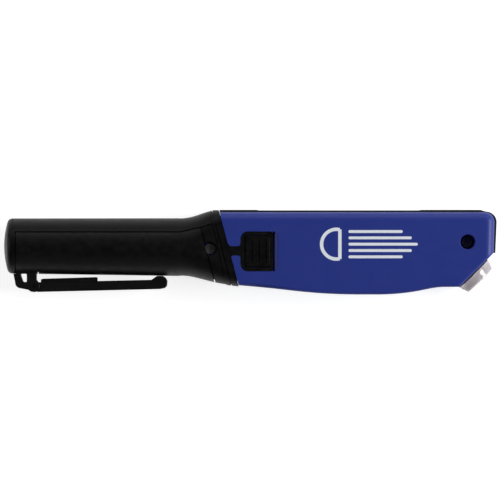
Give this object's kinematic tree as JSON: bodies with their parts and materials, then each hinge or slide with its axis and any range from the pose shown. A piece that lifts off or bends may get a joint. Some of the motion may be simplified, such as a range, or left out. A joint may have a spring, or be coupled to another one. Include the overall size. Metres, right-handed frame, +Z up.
{
  "type": "led inspection light",
  "caption": "Slim pocket inspection light: round grip handle with a sprung clip and screw cap, flat-sided head, long edge light, spot light in the slanted nose, push button.",
  "frame": {"origin": "on the surface that the light lies on, below the middle of its box", "axes": "+X from the tail cap to the nose, +Y from the clip side to the edge light, +Z up, out of the side with the button"},
  "size_m": [0.2459, 0.0422, 0.028],
  "materials": {
    "shell_front": "fine satin",
    "shell_back": "fine satin",
    "tube": "satin",
    "grip": "matt",
    "collar": "matt",
    "frame": "satin",
    "window": "clear",
    "tray": "white",
    "board": "solder mask",
    "led": "phosphor",
    "gasket": "matt",
    "spot_cover": "clear",
    "spot_cup": "mirror",
    "switch_body": "matt",
    "components": "matt",
    "screws": "zinc plated",
    "cell": "heat-shrink sleeve",
    "contact": "plain",
    "insulator": "plain",
    "strip": "plain",
    "lead_red": "insulation",
    "lead_black": "insulation",
    "lead_white": "insulation",
    "clip": "satin",
    "pin": "plain",
    "spring": "spring wire",
    "button": "matt",
    "plunger": "plain",
    "seal": "matt",
    "cap": "satin"
  },
  "bodies": {
    "housing": {"head_shell_front": "shell_front", "head_shell_back": "shell_back", "handle_tube": "tube", "grip_sleeve": "grip", "collar_boot": "collar", "light_frame": "frame", "flood_lens": "window", "flood_reflector": "tray", "flood_board": "board", "flood_leds": "led", "spot_gasket": "gasket", "spot_lens": "spot_cover", "spot_reflector": "spot_cup", "spot_board": "board", "spot_led": "led", "control_board": "board", "tact_switch": "switch_body", "driver_components": "components", "shell_screws": "screws", "battery_cell": "cell", "front_contact": "contact", "contact_insulator": "insulator", "ground_strip": "strip", "lead_positive": "lead_red", "lead_negative": "lead_black", "flood_leads": "lead_white", "spot_leads": "lead_white", "clip_bracket": "clip", "clip_pin": "pin", "clip_spring": "spring"},
    "clip": {"clip_arm": "clip"},
    "button": {"power_button": "button", "button_plunger": "plunger"},
    "seal": {"tail_oring": "seal"},
    "cap": {"tail_cap": "cap", "tail_contact": "contact", "tail_spring": "spring"}
  },
  "joints": [
    {"name": "button_press", "type": "slide", "parent": "housing", "child": "button", "axis": [0, 0, -1], "range_m": [0, 0.0012], "stiffness_N_per_m": 600, "springref_m": -0.0015},
    {"name": "clip_hinge", "type": "hinge", "parent": "housing", "child": "clip", "pos_m": [-0.1079, -0.01705, 0.014], "axis": [0, 0, -1], "range_deg": [0, 25], "stiffness_Nm_per_rad": 0.12, "springref_deg": -28.65},
    {"name": "seal_slide", "type": "slide", "parent": "housing", "child": "seal", "axis": [-1, 0, 0], "range_m": [0, 0.006]},
    {"name": "cap_turn", "type": "hinge", "parent": "seal", "child": "cap", "pos_m": [-0.1186, 0.0031, 0.014], "axis": [-1, 0, 0], "range_deg": [0, 1080]}
  ],
  "couplings": [
    {"joint": "seal_slide", "follows": "cap_turn", "m_per_rad": 0.00031831}
  ]
}
